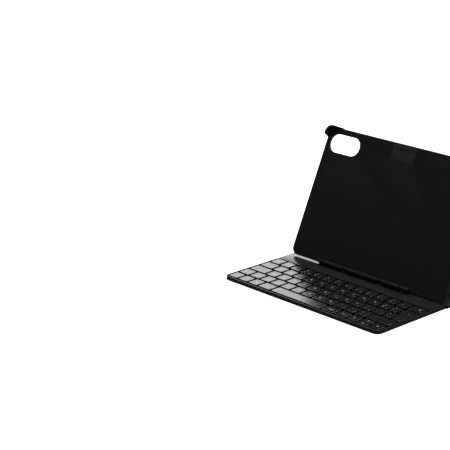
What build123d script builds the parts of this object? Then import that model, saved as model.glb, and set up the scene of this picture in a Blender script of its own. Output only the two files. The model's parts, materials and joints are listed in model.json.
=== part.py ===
from build123d import *
import math
import os

# A tablet keyboard case standing open. X runs along the keys, Y from the front edge to the rear, Z up.
# The model is drawn from the base's front edge and is centred on the base's depth when it is written.

# Base
case_width = 262.0
base_depth = 182.5
keyboard_depth = 125.5
deck_z = 5.0
corner_radius = 8.0
bottom_skin = 0.6
side_wall = 1.6
chassis_floor = 0.6
deck_thickness = 0.6
rear_width = 264.6
rear_top = 4.6
rear_skin = 0.6
seam_gap = 0.3
rear_edge = base_depth - 1.5

# Keys
field_width = 257.2
field_front = 3.0
row_pitch = 18.9
key_unit = 18.0
key_gap = 2.8
key_top = 5.25
key_bottom = 3.9
key_ceiling = 4.4
key_wall = 1.1
key_corner = 2.0
key_edge = 0.22
well_margin = 0.8
well_corner = 5.5
sheet_inset = 0.6
plate_bottom = 1.2
plate_top = 1.5
membrane_top = 1.75
dome_base_radius = 2.4
dome_top_radius = 1.3

# Standing panel, drawn flat in its own frame: X across, Y up along the face, Z out of the face
panel_tilt = 24.27
foot_y = 121.5
panel_bottom = 1.8
panel_top = 178.7
panel_corner = 10.0
lining = 0.4
lining_inset = 1.05
rim_sink = 0.1
board_back = 2.4
panel_thickness = 3.0
thin_thickness = 1.3

# Hinge under the tablet ledge
hinge_up = 4.0
hinge_out = 3.54
hinge_pin_radius = 0.9
hinge_clearance = 0.05
ledge_width = 152.0
ledge_top = 5.8
ledge_radius = 3.4
ledge_web = 0.8
ledge_notch_side = 1.0
ledge_notch_top = 7.0
lug_width = 8.0
lug_side_gap = 0.4
lug_radius = 1.7
lug_stem_front = 1.6
lug_stem_rear = 1.3
lug_centres = [-66.0, -30.0, 30.0, 66.0]
foot_front = 117.0
foot_rear = 121.6
foot_bottom = deck_z + 0.05
foot_top = 6.4

# Rear flap and spine
crease_up = 62.0
crease_back = 2.2
bead_radius = 0.75
fold_gap = 0.95
fold_thickness = 1.6
closed_panel_front = 0.6
spine_hinge_y = base_depth
spine_hinge_z = 2.5
spine_end_y = 182.0
flap_skin = 0.6
flap_width = 258.0

# Camera window, corner bumper and pen window
camera_centre_x = -98.2
camera_centre_up = 158.35
camera_width = 51.7
camera_height = 24.8
camera_corner = 12.1
trim_width = 1.2
trim_proud = -0.03
bumper_wall = 1.0
bumper_reach = 8.0
bumper_lip = 1.0
bumper_side_length = 14.5
bumper_side_lean = 0.31
bumper_top_length = 20.0
bumper_top_lean = 1.0
pen_width = 38.0
pen_height = 22.5
pen_sink = 0.1


# Places that follow from the sizes above
tilt = math.radians(panel_tilt)
panel_plane = Plane(origin=(0, foot_y, deck_z), x_dir=(1, 0, 0), z_dir=(0, -math.cos(tilt), math.sin(tilt)))
pivot_y = foot_y + hinge_up * math.sin(tilt) - hinge_out * math.cos(tilt)
pivot_z = deck_z + hinge_up * math.cos(tilt) + hinge_out * math.sin(tilt)
closed_pivot_y = closed_panel_front + panel_top - hinge_up
closed_face_z = pivot_z + hinge_out
slide_travel = closed_pivot_y - pivot_y

crease_y = foot_y + crease_up * math.sin(tilt) + crease_back * math.cos(tilt)
crease_z = deck_z + crease_up * math.cos(tilt) - crease_back * math.sin(tilt)
closed_crease_y = closed_pivot_y - (crease_up - hinge_up)
closed_crease_z = closed_face_z + crease_back
flap_length = spine_end_y - closed_crease_y
spine_length = math.hypot(spine_end_y - spine_hinge_y, closed_crease_z - spine_hinge_z)


def open_spine_end():
    """Where the flap's lower edge meets the spine's upper edge when the case stands open."""
    across = spine_hinge_y - crease_y
    down = spine_hinge_z - crease_z
    reach = math.hypot(across, down)
    along = (flap_length**2 - spine_length**2 + reach**2) / (2 * reach)
    offset = math.sqrt(flap_length**2 - along**2)
    return (
        crease_y + (along * across - offset * down) / reach,
        crease_z + (along * down + offset * across) / reach,
    )


end_y, end_z = open_spine_end()
flap_angle = math.degrees(math.atan2(end_z - crease_z, end_y - crease_y))
spine_angle = math.degrees(math.atan2(end_z - spine_hinge_z, end_y - spine_hinge_y))
closed_spine_angle = math.degrees(math.atan2(closed_crease_z - spine_hinge_z, spine_end_y - spine_hinge_y))
panel_travel = 90 + panel_tilt


def box(x0, x1, y0, y1, z0, z1):
    """A box between two corners."""
    return Pos((x0 + x1) / 2, (y0 + y1) / 2, (z0 + z1) / 2) * Box(x1 - x0, y1 - y0, z1 - z0)


def plate(outline, z0, z1):
    """An outline in the XY plane made solid between two heights."""
    return Pos(0, 0, z0) * extrude(outline, z1 - z0)


def rod(radius, length, y, z, x=0.0):
    """A round bar along X."""
    return Pos(x, y, z) * Rot(0, 90, 0) * Cylinder(radius, length)


def rounded(width, height, radius, x=0.0, y=0.0):
    """A rounded rectangle about a centre."""
    return Pos(x, y) * RectangleRounded(width, height, radius)


def keyboard_outline(inset=0.0):
    """The keyboard section seen from above, with its two front corners rounded."""
    width = case_width - 2 * inset
    depth = keyboard_depth - 2 * inset
    outline = Pos(0, keyboard_depth / 2) * Rectangle(width, depth)
    return fillet(outline.vertices().sort_by(Axis.Y)[:2], corner_radius - inset)


def rear_outline():
    """The plain rear section seen from above."""
    front = keyboard_depth + seam_gap
    outline = Pos(0, (front + rear_edge) / 2) * Rectangle(rear_width, rear_edge - front)
    return fillet(outline.vertices().sort_by(Axis.Y)[2:], corner_radius / 2)


# Key layout: the front row first, each key as a name and a width in millimetres
narrow = key_unit
wide = 1.25 * key_unit
letters = {
    2: ["z", "x", "c", "v", "b", "n", "m", "comma", "period", "slash"],
    3: ["a", "s", "d", "f", "g", "h", "j", "k", "l", "semicolon"],
    4: ["q", "w", "e", "r", "t", "y", "u", "i", "o", "p"],
    5: ["1", "2", "3", "4", "5", "6", "7", "8", "9", "0"],
}
space_width = field_width - 7 * narrow - 2 * wide


def key_row(number):
    """The keys of one row from left to right."""
    if number == 1:
        keys = [("control_left", narrow), ("function", narrow), ("meta", narrow), ("alt_left", wide)]
        keys += [("space", space_width), ("alt_right", wide), ("control_right", narrow)]
        keys += [("arrow_left", narrow), ("arrow_pair", narrow), ("arrow_right", narrow)]
        return keys
    middle = [(name, narrow) for name in letters[number]]
    if number == 2:
        keys = [("shift_left", 19.2), ("angle", 19.2)] + middle
        return keys + [("shift_right", field_width - 10 * narrow - 38.4)]
    if number == 3:
        return [("caps", 30.0)] + middle + [("quote", 17.0), ("hash", 14.4)]
    if number == 4:
        return [("tab", 23.4)] + middle + [("bracket_left", 17.0), ("bracket_right", 15.0)]
    keys = [("escape", narrow)] + middle + [("minus", narrow), ("equals", narrow)]
    return keys + [("backspace", field_width - 13 * narrow)]


def key_cells():
    """Each key's cell as (x0, x1, y0, y1), with the gap between keys not yet taken off."""
    cells = {}
    for number in range(1, 6):
        x = -field_width / 2
        front = field_front + (number - 1) * row_pitch
        for name, width in key_row(number):
            cells[name] = (x, x + width, front, front + row_pitch)
            x += width
    x0, x1, front, rear = cells.pop("arrow_pair")
    middle = (front + rear) / 2
    cells["arrow_down"] = (x0, x1, front, middle)
    cells["arrow_up"] = (x0, x1, middle, rear)
    return cells


cells = key_cells()
enter_lower_x = cells["hash"][1]
enter_upper_x = cells["bracket_right"][1]
enter_right_x = field_width / 2
enter_front = cells["hash"][2]
enter_step = cells["bracket_right"][2]
enter_rear = cells["bracket_right"][3]
columns = [[row[index] for row in letters.values()] for index in range(10)]
columns += [["quote", "bracket_left", "minus"], ["hash", "bracket_right", "equals"]]
grouped = [name for column in columns for name in column]


def cap(outline, inner):
    """A keycap: a softened plate on a thin skirt, hollow underneath."""
    body = plate(outline, key_bottom, key_top)
    body = chamfer(body.faces().sort_by(Axis.Z)[-1].edges(), key_edge)
    return body - plate(inner, key_bottom - 1, key_ceiling)


def key(name):
    """One rectangular key in its cell."""
    x0, x1, y0, y1 = cells[name]
    width = x1 - x0 - key_gap
    depth = y1 - y0 - key_gap
    if name in ("arrow_up", "arrow_down"):
        depth = y1 - y0 - key_gap * 0.6
    x = (x0 + x1) / 2
    y = (y0 + y1) / 2
    outline = rounded(width, depth, key_corner, x, y)
    inner = Pos(x, y) * Rectangle(width - 2 * key_wall, depth - 2 * key_wall)
    return cap(outline, inner)


def enter_outline(inset):
    """The two-row Enter key, its upper half wider to the left."""
    right = enter_right_x - inset
    lower = enter_lower_x + inset
    upper = enter_upper_x + inset
    rear = enter_rear - inset
    front = enter_front + inset
    step = enter_step + inset
    points = [(lower, front), (right, front), (right, rear), (upper, rear), (upper, step), (lower, step)]
    return make_face(Polyline(*points, close=True))


def enter_key():
    """The Enter key with softened corners."""
    outline = enter_outline(key_gap / 2)
    outline = fillet(outline.vertices(), key_corner * 0.7)
    return cap(outline, enter_outline(key_gap / 2 + key_wall))


# Where each switch sits: the centre of every key, and the wide upper half of Enter
switches = [((c[0] + c[1]) / 2, (c[2] + c[3]) / 2, min(c[1] - c[0], c[3] - c[2])) for c in cells.values()]
switches.append(((enter_lower_x + enter_right_x) / 2, enter_step, enter_right_x - enter_lower_x))


def dome():
    """A rubber dome that returns a key."""
    return Pos(0, 0, (membrane_top + key_ceiling) / 2) * Cone(
        dome_base_radius, dome_top_radius, key_ceiling - membrane_top
    )


def scissor(size):
    """Two crossed frames that keep a key level."""
    bar = 0.8
    thick = 0.4
    lean = 8.0
    ring = Box(size, size, thick) - Box(size - 2 * bar, size - 2 * bar, 1)
    middle = (membrane_top + key_ceiling) / 2
    return Pos(0, 0, middle) * (Rot(lean, 0, 0) * ring + Rot(-lean, 0, 0) * ring)


def switch_groups():
    """One dome and one scissor under each key."""
    normal = scissor(9.2)
    small = scissor(6.2)
    domes = [Pos(x, y, 0) * dome() for x, y, size in switches]
    frames = [Pos(x, y, 0) * (normal if size > 12 else small) for x, y, size in switches]
    return Compound(domes), Compound(frames)


def base_section():
    """The slab with the keys and the plain section behind it."""
    well_x = field_width / 2 + well_margin
    well_front = field_front - well_margin
    well_rear = field_front + 5 * row_pitch + well_margin
    well = Pos(0, (well_front + well_rear) / 2) * RectangleRounded(
        2 * well_x, well_rear - well_front, well_corner
    )
    deck_bottom = deck_z - deck_thickness

    skin = plate(keyboard_outline(), 0, bottom_skin) + plate(rear_outline(), 0, bottom_skin)
    skin += box(-case_width / 2 + 4, case_width / 2 - 4, keyboard_depth - 1, keyboard_depth + 2, 0, bottom_skin)

    chassis = plate(keyboard_outline(), bottom_skin, deck_bottom)
    chassis -= plate(keyboard_outline(side_wall), bottom_skin + chassis_floor, deck_bottom)
    rib = box(-case_width / 2 + 1, case_width / 2 - 1, well_rear, well_rear + 1.2, plate_bottom, deck_bottom)
    chassis += rib

    deck = plate(keyboard_outline(), deck_bottom, deck_z)
    rim = deck.faces().sort_by(Axis.Z)[-1].edges()
    deck = chamfer(rim, 0.3)
    deck -= plate(well, 0, deck_z + 1)

    floor = Pos(0, (well_front + well_rear) / 2) * RectangleRounded(
        2 * well_x - 2 * sheet_inset, well_rear - well_front - 2 * sheet_inset, well_corner
    )
    support = plate(floor, plate_bottom, plate_top)
    membrane = plate(floor, plate_top, membrane_top)
    domes, frames = switch_groups()

    strip_front = well_rear + 1.2
    board = box(30, 110, strip_front + 3, keyboard_depth - 5, 2.0, 2.8)
    for index, size in enumerate([(9, 9), (5, 4), (6, 6), (3, 5)]):
        x = 42 + 18 * index
        board += box(x, x + size[0], strip_front + 6, strip_front + 6 + size[1], 2.8, 3.7)
    board += box(36, 39, strip_front + 12, strip_front + 15, 1.2, 2.0)
    board += box(100, 103, strip_front + 12, strip_front + 15, 1.2, 2.0)

    magnets = []
    for x in (-66, -30, 0):
        magnets.append(box(x - 12, x + 12, foot_front - 0.5, foot_rear + 0.5, 2.4, deck_bottom))
    for x in (-120, 120):
        magnets.append(box(x - 6, x + 6, strip_front + 4, strip_front + 10, 2.4, deck_bottom))

    rear = plate(rear_outline(), bottom_skin, rear_top - rear_skin)
    rear_cover = plate(rear_outline(), rear_top - rear_skin, rear_top)
    rear_cover = chamfer(rear_cover.faces().sort_by(Axis.Z)[-1].edges(), 0.25)

    strip = rod(bead_radius, rear_width - 12, spine_hinge_y, spine_hinge_z)
    strip += box(
        -rear_width / 2 + 6, rear_width / 2 - 6, rear_edge, spine_hinge_y, spine_hinge_z - 0.3, spine_hinge_z + 0.3
    )
    return {
        "bottom_cover": skin,
        "chassis": chassis,
        "deck_plate": deck,
        "support_plate": support,
        "key_membrane": membrane,
        "rubber_domes": domes,
        "scissor_frames": frames,
        "circuit_board": board,
        "deck_magnets": Compound(magnets),
        "rear_board": rear,
        "rear_cover": rear_cover,
        "spine_hinge": strip,
    }


def key_nodes():
    """Every key cap. The caps of one finger column share a node."""
    nodes = {f"key_{name}": key(name) for name in cells if name not in grouped}
    nodes["key_enter"] = enter_key()
    for column in columns:
        label = "_".join(column)
        nodes[f"keys_{label}"] = Compound([key(name) for name in column])
    return nodes


def foot_section():
    """The bar that stands on the deck and carries the panel's hinge."""
    half = ledge_width / 2
    bar = box(-half, half, foot_front, foot_rear, foot_bottom, foot_top)
    for x in lug_centres:
        x0 = x - lug_width / 2
        x1 = x + lug_width / 2
        bar += box(x0, x1, pivot_y - lug_stem_front, pivot_y + lug_stem_rear, foot_bottom, pivot_z)
        bar += rod(lug_radius, lug_width, pivot_y, pivot_z, x)
    bar -= rod(hinge_pin_radius, ledge_width, pivot_y, pivot_z)
    magnets = []
    for x in (-48, 0, 48):
        magnets.append(box(x - 9, x + 9, foot_front + 0.8, foot_rear - 0.8, foot_bottom + 0.2, foot_top - 0.2))
    for magnet in magnets:
        bar -= magnet
    pin = rod(hinge_pin_radius, ledge_width - 3, pivot_y, pivot_z)
    return {"foot_bar": bar, "hinge_pin": pin, "foot_magnets": Compound(magnets)}


def panel_outline(up0=panel_bottom, up1=panel_top, grow=0.0):
    """The panel's outline between two heights along its face."""
    height = panel_top - panel_bottom + 2 * grow
    middle = (panel_top + panel_bottom) / 2
    outline = rounded(case_width + 2 * grow, height, panel_corner + grow, 0, middle)
    if up0 == panel_bottom and up1 == panel_top:
        return outline
    band = Pos(0, (up0 + up1) / 2) * Rectangle(case_width + 20, up1 - up0)
    return outline & band


def camera_outline(grow=0.0):
    """The rounded camera window."""
    return rounded(
        camera_width + 2 * grow,
        camera_height + 2 * grow,
        camera_corner + grow,
        camera_centre_x,
        camera_centre_up,
    )


def panel_magnet_group():
    """Flat magnets inside the board that hold the tablet."""
    magnets = []
    for x in (-104, -52, 52, 104):
        for up in (84, 130):
            if x == -104 and up == 130:
                up = 112
            magnets.append(box(x - 14, x + 14, up - 5, up + 5, -board_back + 0.4, -lining - 0.4))
    return magnets


def tablet_ledge():
    """The round-nosed ledge that the tablet stands on, slotted for the hinge lugs."""
    half = ledge_width / 2
    nose = rod(ledge_radius, ledge_width, hinge_up, hinge_out)
    body = nose + box(-half, half, panel_bottom, ledge_top, 0, hinge_out)
    body &= box(-half, half, -5, ledge_top, 0, 10)
    body += box(-half, half, panel_bottom + 0.2, ledge_top, -lining, 0)
    for x in lug_centres:
        gap = lug_width / 2 + lug_side_gap
        body -= box(x - gap, x + gap, -5, 10, ledge_web, 10)
    return body - rod(hinge_pin_radius + hinge_clearance, ledge_width + 2, hinge_up, hinge_out)


def corner_bumper():
    """The wall and front lip round the tablet's top left corner."""
    gap = 0.05
    ring = panel_outline(grow=bumper_wall + gap) - panel_outline(grow=gap)
    wall = plate(ring, -panel_thickness, bumper_reach)
    hook = panel_outline(grow=bumper_wall + gap) - panel_outline(grow=-bumper_lip)
    wall += plate(hook, bumper_reach - bumper_lip, bumper_reach)
    left = -case_width / 2
    low = -panel_thickness - 1
    high = bumper_reach + 1
    keep = box(left - 5, left + 40, panel_top - 40, panel_top + 5, low, high)
    end = left + bumper_top_length
    slope = bumper_top_lean
    beyond = Polyline(
        (end - slope * low, low), (end + 60, low), (end + 60, high), (end - slope * high, high), close=True
    )
    keep -= extrude(Plane.XZ * make_face(beyond), 400, both=True)
    end = panel_top - bumper_side_length
    slope = bumper_side_lean
    below = Polyline(
        (end + slope * low, low), (end - 60, low), (end - 60, high), (end + slope * high, high), close=True
    )
    keep -= extrude(Plane.YZ * make_face(below), 400, both=True)
    return wall & keep


def pen_window():
    """The smooth inlay at the top centre, with a pill-shaped line in it."""
    middle = panel_top - pen_height / 2
    top = panel_top - lining_inset
    inlay = box(-pen_width / 2, pen_width / 2, panel_top - pen_height, top, -lining, -pen_sink)
    pill = Pos(0, middle - 4) * (SlotOverall(24.0, 9.0) - SlotOverall(23.0, 8.0))
    return inlay - plate(pill, -pen_sink - 0.12, 1)


def panel_section():
    """The panel that the tablet lies against, in its own frame."""
    hole = plate(camera_outline(trim_width), -10, 10)
    step = crease_up + 1.2
    magnets = panel_magnet_group()

    board = plate(panel_outline(), -thin_thickness, -lining)
    board += plate(panel_outline(up0=step), -board_back, -thin_thickness)
    board += plate(panel_outline() - panel_outline(grow=-lining_inset), -lining, -rim_sink)
    board -= hole
    for magnet in magnets:
        board -= magnet

    window = pen_window()
    recess = box(-pen_width / 2, pen_width / 2, panel_top - pen_height, panel_top + 1, -lining, 1)
    notch_x = ledge_width / 2 + ledge_notch_side
    notch = box(-notch_x, notch_x, -5, ledge_notch_top, -1, 1)
    face = plate(panel_outline(grow=-lining_inset), -lining, 0) - hole - recess - notch
    board -= box(-notch_x, notch_x, -5, ledge_notch_top, -lining, 1)
    cover = plate(panel_outline(up0=step), -panel_thickness, -board_back) - hole

    trim = plate(camera_outline(trim_width) - camera_outline(), -panel_thickness, trim_proud)
    trim = chamfer(trim.faces().sort_by(Axis.Z)[-1].edges(), 0.1)

    ledge = tablet_ledge()
    block = box(-9, 9, ledge_top, ledge_top + 0.4, hinge_out - 1.7, hinge_out + 1.7)
    pins = []
    for index in range(5):
        x = 3.2 * (index - 2)
        pin = Pos(x, ledge_top + 0.15, hinge_out) * Rot(-90, 0, 0) * Cylinder(0.6, 1.3)
        pins.append(pin)
        block -= pin
        ledge -= pin

    half = flap_width / 2
    bead = rod(bead_radius, flap_width, crease_up, -crease_back)
    bead += box(-half, half, crease_up, step, -crease_back - 0.2, -crease_back + 0.3)
    return {
        "panel_board": board,
        "panel_lining": face,
        "panel_back_cover": cover,
        "panel_magnets": Compound(magnets),
        "camera_trim": trim,
        "corner_bumper": corner_bumper(),
        "tablet_ledge": ledge,
        "contact_block": block,
        "contact_pins": Compound(pins),
        "pen_window": window,
        "crease_hinge": bead,
    }


def strip_between(length, thickness0, thickness1, width):
    """A flat strip that starts at a fold line and runs along Y."""
    outline = Pos(0, (fold_gap + length) / 2) * Rectangle(width, length - fold_gap)
    return plate(outline, thickness0, thickness1)


def flap_section():
    """The rear support flap, from the crease behind the panel down to the spine."""
    half = fold_thickness / 2
    board = strip_between(flap_length - fold_gap, -half + flap_skin, half, flap_width)
    cover = strip_between(flap_length - fold_gap, -half, -half + flap_skin, flap_width)
    # the skin is on the outer, lower side once the closed flap is turned over
    place = Pos(0, crease_y, crease_z) * Rot(flap_angle, 0, 0)
    return {"flap_board": place * board.mirror(Plane.XY), "flap_cover": place * cover.mirror(Plane.XY)}


def spine_section():
    """The short strip between the base's rear edge and the flap."""
    half = fold_thickness / 2
    strip = strip_between(spine_length - fold_gap, -half, half, flap_width)
    strip = fillet(strip.edges().filter_by(Axis.X), 0.3)
    return {"spine_cover": Pos(0, spine_hinge_y, spine_hinge_z) * Rot(spine_angle, 0, 0) * strip}


def main():
    """Write every node in the row's frame."""
    os.makedirs("parts", exist_ok=True)
    nodes = {}
    nodes.update(base_section())
    nodes.update(key_nodes())
    nodes.update(foot_section())
    for name, shape in panel_section().items():
        nodes[name] = panel_plane.location * shape
    nodes.update(flap_section())
    nodes.update(spine_section())
    for name, shape in nodes.items():
        export_step(Pos(0, -base_depth / 2, 0) * shape, f"parts/{name}.step")

    print("nodes", len(nodes))
    print("pivot", pivot_y - base_depth / 2, pivot_z, "panel travel", panel_travel)
    print("slide", slide_travel)
    print("crease", crease_y - base_depth / 2, crease_z, "flap angle", flap_angle)
    print("spine", spine_length, spine_angle, closed_spine_angle, "flap length", flap_length)
    print("spine end", end_y - base_depth / 2, end_z)


main()
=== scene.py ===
import json
import math

import bmesh
import bpy
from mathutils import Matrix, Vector


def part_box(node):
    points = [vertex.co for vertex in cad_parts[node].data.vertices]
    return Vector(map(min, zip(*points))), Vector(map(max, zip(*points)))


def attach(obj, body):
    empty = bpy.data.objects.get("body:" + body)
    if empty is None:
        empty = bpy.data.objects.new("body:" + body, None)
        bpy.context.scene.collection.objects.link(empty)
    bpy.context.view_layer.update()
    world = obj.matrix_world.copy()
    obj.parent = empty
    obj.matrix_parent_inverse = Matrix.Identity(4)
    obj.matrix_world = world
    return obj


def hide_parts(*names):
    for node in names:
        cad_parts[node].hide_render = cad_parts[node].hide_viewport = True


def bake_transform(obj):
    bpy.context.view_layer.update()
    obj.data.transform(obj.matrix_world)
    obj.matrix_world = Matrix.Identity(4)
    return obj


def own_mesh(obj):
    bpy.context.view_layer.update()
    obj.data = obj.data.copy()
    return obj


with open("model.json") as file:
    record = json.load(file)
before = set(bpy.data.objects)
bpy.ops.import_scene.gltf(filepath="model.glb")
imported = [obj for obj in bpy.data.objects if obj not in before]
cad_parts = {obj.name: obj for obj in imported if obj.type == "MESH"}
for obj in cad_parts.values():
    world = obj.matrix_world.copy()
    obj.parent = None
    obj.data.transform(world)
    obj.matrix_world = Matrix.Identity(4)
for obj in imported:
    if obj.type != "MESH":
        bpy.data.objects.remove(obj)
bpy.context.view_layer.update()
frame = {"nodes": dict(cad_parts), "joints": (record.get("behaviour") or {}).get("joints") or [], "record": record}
mm = 0.001

# the standing panel's own axes: across, up along its face, and out of the face
mountsByName = {mount["name"]: mount for mount in frame["record"]["mounts"]}
jointsByName = {joint["name"]: joint for joint in frame["joints"]}
faceMount = mountsByName["tablet_face"]
panelOut = Vector(faceMount["axis"]).normalized()
panelUp = Vector((0, panelOut.z, -panelOut.y))
mountUp = 110  # how far up the panel its mount sits, in millimetres
panelFoot = Vector(faceMount["pos_m"]) - mountUp * mm * panelUp
creasePoint = Vector(jointsByName["flap_fold"]["pos_m"])
spinePoint = Vector(jointsByName["spine_fold"]["pos_m"])
flapTurn = math.radians(-48.589)  # the flap's slope while the case stands
spineTurn = math.radians(45.929)  # and the spine strip's
flapAlong = Vector((0, math.cos(flapTurn), math.sin(flapTurn)))
flapOut = Vector((0, -math.sin(flapTurn), math.cos(flapTurn)))
spineAlong = Vector((0, math.cos(spineTurn), math.sin(spineTurn)))
spineOut = Vector((0, math.sin(spineTurn), -math.cos(spineTurn)))
print("frame loaded", len(frame["nodes"]), "nodes")


def onPanel(x, up, out):
    return Vector((x * mm, 0, 0)) + panelFoot + up * mm * panelUp + out * mm * panelOut


# Shader node groups

def newGroup(name, inputs, outputs):
    group = bpy.data.node_groups.new(name, "ShaderNodeTree")
    for socketName, kind, value in inputs:
        socket = group.interface.new_socket(name=socketName, in_out="INPUT", socket_type=kind)
        socket.default_value = value
    for socketName, kind in outputs:
        group.interface.new_socket(name=socketName, in_out="OUTPUT", socket_type=kind)
    nodes = group.nodes
    return group, nodes, group.links, nodes.new("NodeGroupInput"), nodes.new("NodeGroupOutput")


def mathNode(nodes, links, operation, first, second=None, third=None):
    node = nodes.new("ShaderNodeMath")
    node.operation = operation
    for index, value in enumerate((first, second, third)):
        if value is None:
            continue
        if isinstance(value, (int, float)):
            node.inputs[index].default_value = value
        else:
            links.new(value, node.inputs[index])
    return node.outputs[0]


def makeGrainGroup():
    # skin grain: small pebbles with a finer pore noise, a slow drift in tone, and painted shade darkening the valleys
    # between pebbles
    inputs = [
        ("Pebble Scale", "NodeSocketFloat", 900.0),
        ("Pebble Depth", "NodeSocketFloat", 0.6),
        ("Pore Depth", "NodeSocketFloat", 0.25),
    ]
    outputs = [("Height", "NodeSocketFloat"), ("Tone", "NodeSocketFloat")]
    group, nodes, links, entry, leave = newGroup("skinGrain", inputs, outputs)
    coords = nodes.new("ShaderNodeTexCoord")
    warp = nodes.new("ShaderNodeTexNoise")
    warp.inputs["Scale"].default_value = 160.0
    warp.inputs["Detail"].default_value = 3.0
    links.new(coords.outputs["Object"], warp.inputs["Vector"])
    shift = nodes.new("ShaderNodeVectorMath")
    shift.operation = "MULTIPLY_ADD"
    shift.inputs[1].default_value = (0.0012, 0.0012, 0.0012)
    links.new(warp.outputs["Color"], shift.inputs[0])
    links.new(coords.outputs["Object"], shift.inputs[2])
    pebble = nodes.new("ShaderNodeTexVoronoi")
    pebble.feature = "SMOOTH_F1"
    pebble.inputs["Smoothness"].default_value = 0.35
    links.new(shift.outputs[0], pebble.inputs["Vector"])
    links.new(entry.outputs["Pebble Scale"], pebble.inputs["Scale"])
    pore = nodes.new("ShaderNodeTexNoise")
    pore.inputs["Scale"].default_value = 3800.0
    pore.inputs["Detail"].default_value = 2.0
    links.new(coords.outputs["Object"], pore.inputs["Vector"])
    drift = nodes.new("ShaderNodeTexNoise")
    drift.inputs["Scale"].default_value = 22.0
    drift.inputs["Detail"].default_value = 4.0
    links.new(coords.outputs["Object"], drift.inputs["Vector"])
    pebbleHeight = mathNode(nodes, links, "MULTIPLY", pebble.outputs["Distance"], entry.outputs["Pebble Depth"])
    poreHeight = mathNode(nodes, links, "MULTIPLY", pore.outputs["Fac"], entry.outputs["Pore Depth"])
    links.new(mathNode(nodes, links, "SUBTRACT", poreHeight, pebbleHeight), leave.inputs["Height"])
    # painted shade: the tone is made darker in the valleys between pebbles
    valleyShade = mathNode(nodes, links, "MULTIPLY", pebble.outputs["Distance"], -0.35)
    links.new(mathNode(nodes, links, "ADD", drift.outputs["Fac"], valleyShade), leave.inputs["Tone"])
    return group


def makeMouldGroup():
    # spark-eroded mould texture: an even fine speckle with soft clouds in it
    inputs = [("Speckle Scale", "NodeSocketFloat", 2600.0)]
    outputs = [("Height", "NodeSocketFloat"), ("Tone", "NodeSocketFloat")]
    group, nodes, links, entry, leave = newGroup("mouldTexture", inputs, outputs)
    coords = nodes.new("ShaderNodeTexCoord")
    speckle = nodes.new("ShaderNodeTexNoise")
    speckle.inputs["Detail"].default_value = 3.0
    speckle.inputs["Roughness"].default_value = 0.7
    links.new(coords.outputs["Object"], speckle.inputs["Vector"])
    links.new(entry.outputs["Speckle Scale"], speckle.inputs["Scale"])
    cloud = nodes.new("ShaderNodeTexNoise")
    cloud.inputs["Scale"].default_value = 34.0
    cloud.inputs["Detail"].default_value = 5.0
    links.new(coords.outputs["Object"], cloud.inputs["Vector"])
    links.new(speckle.outputs["Fac"], leave.inputs["Height"])
    links.new(cloud.outputs["Fac"], leave.inputs["Tone"])
    return group


def makeEdgeGroup():
    # a mask along sharp edges, broken up so that wear isn't a clean line
    inputs = [("Reach", "NodeSocketFloat", 0.0004), ("Amount", "NodeSocketFloat", 1.0)]
    outputs = [("Mask", "NodeSocketFloat")]
    group, nodes, links, entry, leave = newGroup("edgeWear", inputs, outputs)
    bevel = nodes.new("ShaderNodeBevel")
    bevel.samples = 4
    links.new(entry.outputs["Reach"], bevel.inputs["Radius"])
    surface = nodes.new("ShaderNodeNewGeometry")
    dot = nodes.new("ShaderNodeVectorMath")
    dot.operation = "DOT_PRODUCT"
    links.new(bevel.outputs["Normal"], dot.inputs[0])
    links.new(surface.outputs["Normal"], dot.inputs[1])
    coords = nodes.new("ShaderNodeTexCoord")
    breakup = nodes.new("ShaderNodeTexNoise")
    breakup.inputs["Scale"].default_value = 420.0
    breakup.inputs["Detail"].default_value = 4.0
    links.new(coords.outputs["Object"], breakup.inputs["Vector"])
    edge = mathNode(nodes, links, "SUBTRACT", 1.0, dot.outputs["Value"])
    edge = mathNode(nodes, links, "MULTIPLY", edge, 3.0)
    broken = mathNode(nodes, links, "MULTIPLY", edge, breakup.outputs["Fac"])
    scaled = mathNode(nodes, links, "MULTIPLY", broken, entry.outputs["Amount"])
    clamp = nodes.new("ShaderNodeClamp")
    links.new(scaled, clamp.inputs["Value"])
    links.new(clamp.outputs[0], leave.inputs["Mask"])
    return group


def makeTouchGroup():
    # faint smears and dust that change how evenly a satin face shines
    inputs = [("Smear Scale", "NodeSocketFloat", 55.0), ("Base Roughness", "NodeSocketFloat", 0.3),
              ("Spread", "NodeSocketFloat", 0.08)]
    outputs = [("Roughness", "NodeSocketFloat")]
    group, nodes, links, entry, leave = newGroup("touchMarks", inputs, outputs)
    coords = nodes.new("ShaderNodeTexCoord")
    smear = nodes.new("ShaderNodeTexNoise")
    smear.inputs["Detail"].default_value = 6.0
    smear.inputs["Distortion"].default_value = 0.8
    links.new(coords.outputs["Object"], smear.inputs["Vector"])
    links.new(entry.outputs["Smear Scale"], smear.inputs["Scale"])
    centred = mathNode(nodes, links, "SUBTRACT", smear.outputs["Fac"], 0.5)
    change = mathNode(nodes, links, "MULTIPLY", centred, entry.outputs["Spread"])
    links.new(mathNode(nodes, links, "ADD", change, entry.outputs["Base Roughness"]), leave.inputs["Roughness"])
    return group


skinGrain = makeGrainGroup()
mouldTexture = makeMouldGroup()
edgeWear = makeEdgeGroup()
touchMarks = makeTouchGroup()
print("shader groups ready")


# Materials

def startMaterial(name, look):
    material = bpy.data.materials.new(name)
    material.use_nodes = True
    nodes = material.node_tree.nodes
    links = material.node_tree.links
    surface = nodes["Principled BSDF"]
    surface.inputs["Base Color"].default_value = (*look["colour"], 1)
    surface.inputs["Roughness"].default_value = look["roughness"]
    surface.inputs["Metallic"].default_value = look.get("metallic", 0.0)
    surface.inputs["Specular IOR Level"].default_value = look.get("specular", 0.5)
    return material, nodes, links, surface


def groupNode(nodes, group, **values):
    node = nodes.new("ShaderNodeGroup")
    node.node_tree = group
    for socketName, value in values.items():
        node.inputs[socketName.replace("_", " ")].default_value = value
    return node


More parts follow.
